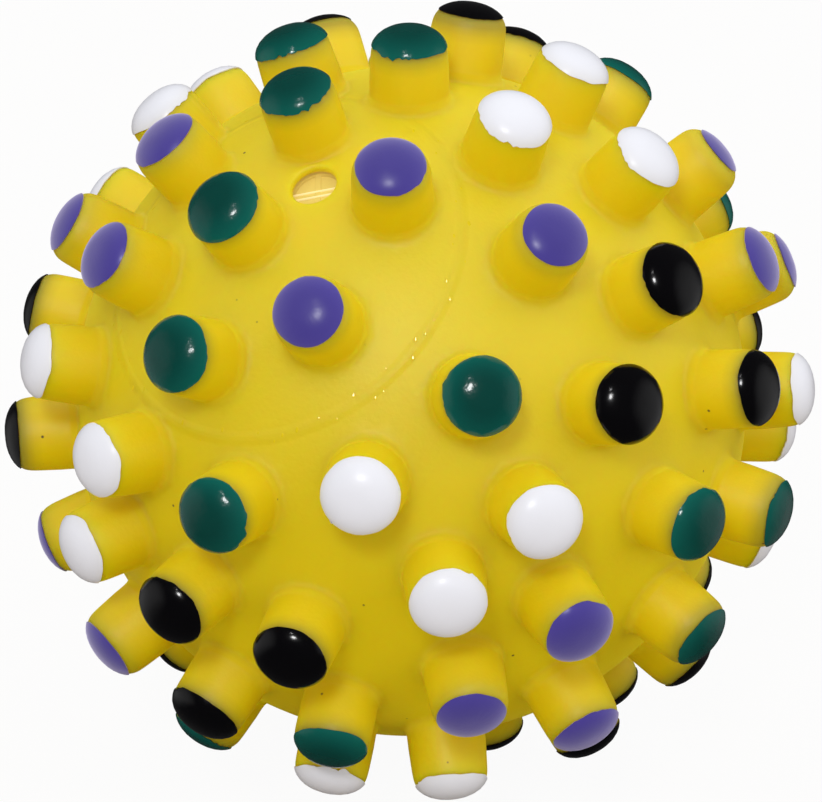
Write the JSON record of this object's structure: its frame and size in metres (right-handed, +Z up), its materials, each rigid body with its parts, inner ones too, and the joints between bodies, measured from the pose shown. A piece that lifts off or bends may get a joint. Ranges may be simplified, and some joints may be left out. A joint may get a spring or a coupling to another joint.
{
  "type": "spiky squeaky ball",
  "caption": "Hollow soft vinyl toy ball with blunt painted pegs moulded all over it and a reed squeaker held behind its air port.",
  "frame": {"origin": "the centre of the round body", "axes": "+Z up, with the ball standing on three of its pegs; -Y is the front of the picture, +X its right"},
  "size_m": [0.1001, 0.1011, 0.1008],
  "materials": {
    "vinyl": "soft satin vinyl, yellow and a little translucent",
    "green_paint": "thick glossy paint, dark teal green",
    "purple_paint": "thick glossy paint, violet",
    "black_paint": "thick glossy paint, black",
    "white_paint": "thick glossy paint, white",
    "clear_plastic": "hard moulded plastic, clear to milky",
    "cap_plastic": "hard moulded plastic, natural white",
    "reed_bed_plastic": "hard moulded plastic, red",
    "reed_film": "thin polyester film, natural"
  },
  "bodies": {
    "ball": {"ball_shell": "vinyl", "squeaker_case": "clear_plastic", "squeaker_cap": "cap_plastic", "reed_bed": "reed_bed_plastic", "reed_wedge": "cap_plastic"},
    "reed": {"reed": "reed_film"}
  },
  "joints": [
    {"name": "reed_flex", "type": "hinge", "parent": "ball", "child": "reed", "pos_m": [-0.00963, -0.01272, 0.0307], "axis": [-0.9605, 0.1068, -0.257], "range_deg": [-3, 8], "stiffness_Nm_per_rad": 0.00002}
  ]
}
